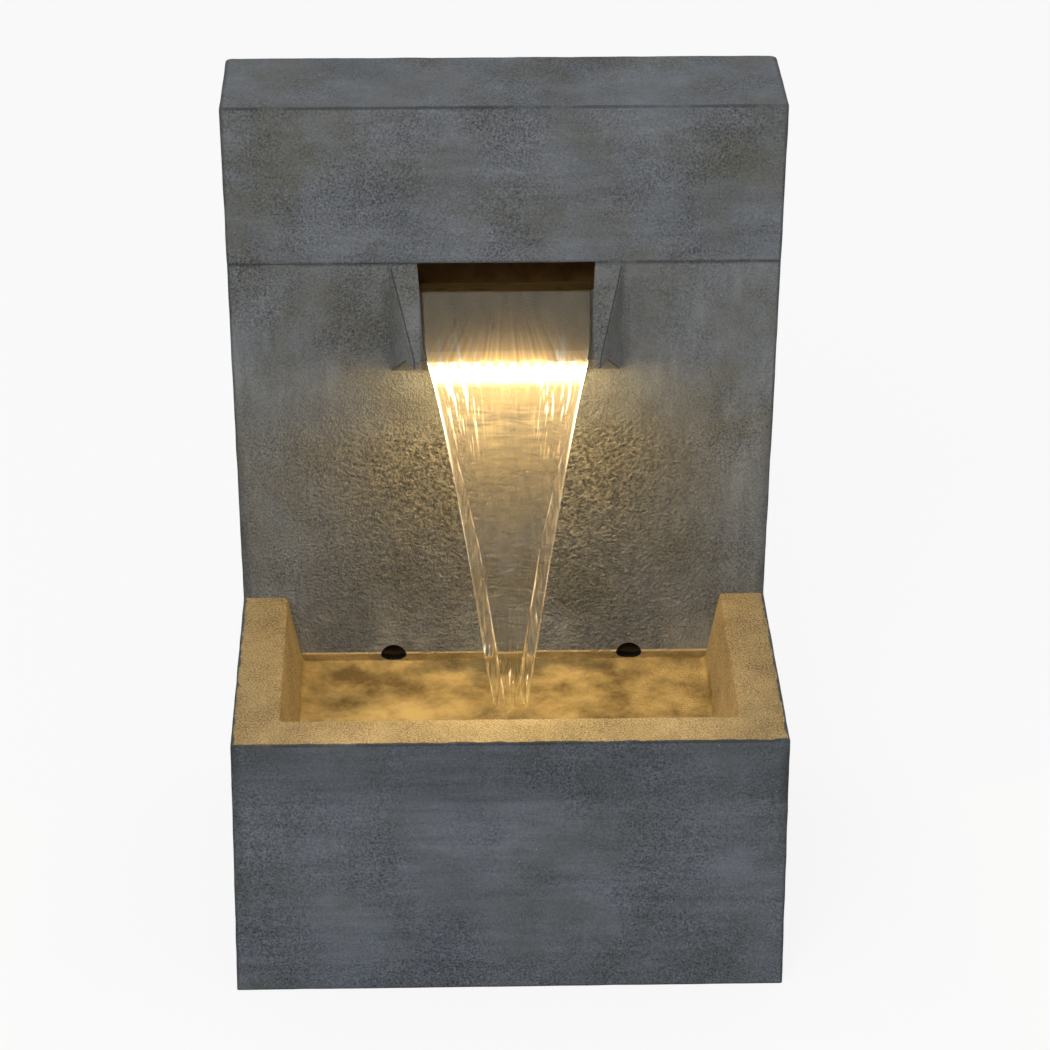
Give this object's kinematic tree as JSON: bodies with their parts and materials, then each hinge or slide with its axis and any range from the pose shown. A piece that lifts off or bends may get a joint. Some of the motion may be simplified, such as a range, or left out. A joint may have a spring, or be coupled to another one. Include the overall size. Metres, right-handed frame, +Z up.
{
  "type": "garden wall fountain",
  "caption": "Cast stone fountain that stands against a wall: flat tower, lit spout between tapering cheeks, open basin and a hidden pump behind a rear door.",
  "frame": {"origin": "ground level under the middle of the whole object's width and depth", "axes": "+Z up, +X to the right as seen from the front, +Y to the back, against the garden wall; the basin faces -Y"},
  "size_m": [0.51, 0.398, 0.765],
  "materials": {
    "cast_stone": "matte cast stone, grey",
    "light_channel": "anodised",
    "light_board": "white board",
    "light_chips": "amber phosphor",
    "light_lens": "clear, lit",
    "black_rubber": "matte",
    "white_plastic": "matte",
    "black_plastic": "matte",
    "clear_hose": "translucent",
    "steel": "brushed",
    "pump_plastic": "matte",
    "rotor_plastic": "matte",
    "dial_plastic": "matte",
    "grey_rubber": "matte",
    "door_plastic": "fine texture",
    "brass": "turned"
  },
  "bodies": {
    "fountain": {"basin_shell": "cast_stone", "tower_front": "cast_stone", "tower_back": "cast_stone", "tower_left": "cast_stone", "tower_right": "cast_stone", "tower_floor": "cast_stone", "door_frame": "cast_stone", "drain_boss": "cast_stone", "trough_ledges": "cast_stone", "return_bush_left": "cast_stone", "return_bush_right": "cast_stone", "cap_shell": "cast_stone", "spout_chute": "cast_stone", "light_channel": "light_channel", "light_board": "light_board", "light_chips": "light_chips", "light_lens": "light_lens", "light_lead": "black_rubber", "lead_clips": "white_plastic", "weir_trough": "black_plastic", "inlet_spigot": "black_plastic", "inlet_washer": "black_rubber", "inlet_nut": "black_plastic", "supply_hose": "clear_hose", "hose_clamps": "steel", "pump_housing": "pump_plastic", "pump_shaft": "steel", "impeller_cover": "pump_plastic", "suction_cups": "grey_rubber", "pump_glands": "black_rubber", "door_gasket": "black_rubber", "door_inserts": "brass"},
    "rotor": {"pump_rotor": "rotor_plastic"},
    "strainer": {"front_strainer": "pump_plastic"},
    "dial": {"flow_dial": "dial_plastic"},
    "door": {"access_door": "door_plastic", "cable_grommet": "black_rubber"},
    "plug": {"drain_plug": "black_rubber"},
    "screw_1": {"door_screw_1": "steel"},
    "screw_2": {"door_screw_2": "steel"},
    "screw_3": {"door_screw_3": "steel"},
    "screw_4": {"door_screw_4": "steel"}
  },
  "joints": [
    {"name": "impeller_spin", "type": "hinge", "parent": "fountain", "child": "rotor", "pos_m": [0.02, 0.135, 0.04], "axis": [1, 0, 0], "continuous": true},
    {"name": "strainer_slide", "type": "slide", "parent": "fountain", "child": "strainer", "axis": [1, 0, 0], "range_m": [0, 0.025]},
    {"name": "flow_dial_turn", "type": "hinge", "parent": "strainer", "child": "dial", "pos_m": [0.046, 0.135, 0.04], "axis": [1, 0, 0], "range_deg": [0, 150]},
    {"name": "door_slide", "type": "slide", "parent": "fountain", "child": "door", "axis": [0, 1, 0], "range_m": [0, 0.08]},
    {"name": "drain_plug_slide", "type": "slide", "parent": "fountain", "child": "plug", "axis": [0, 1, 0], "range_m": [0, 0.03]},
    {"name": "door_screw_1_turn", "type": "hinge", "parent": "door", "child": "screw_1", "pos_m": [-0.118, 0.19, 0.328], "axis": [0, 1, 0], "continuous": true},
    {"name": "door_screw_2_turn", "type": "hinge", "parent": "door", "child": "screw_2", "pos_m": [0.118, 0.19, 0.328], "axis": [0, 1, 0], "continuous": true},
    {"name": "door_screw_3_turn", "type": "hinge", "parent": "door", "child": "screw_3", "pos_m": [-0.118, 0.19, 0.132], "axis": [0, 1, 0], "continuous": true},
    {"name": "door_screw_4_turn", "type": "hinge", "parent": "door", "child": "screw_4", "pos_m": [0.118, 0.19, 0.132], "axis": [0, 1, 0], "continuous": true}
  ]
}
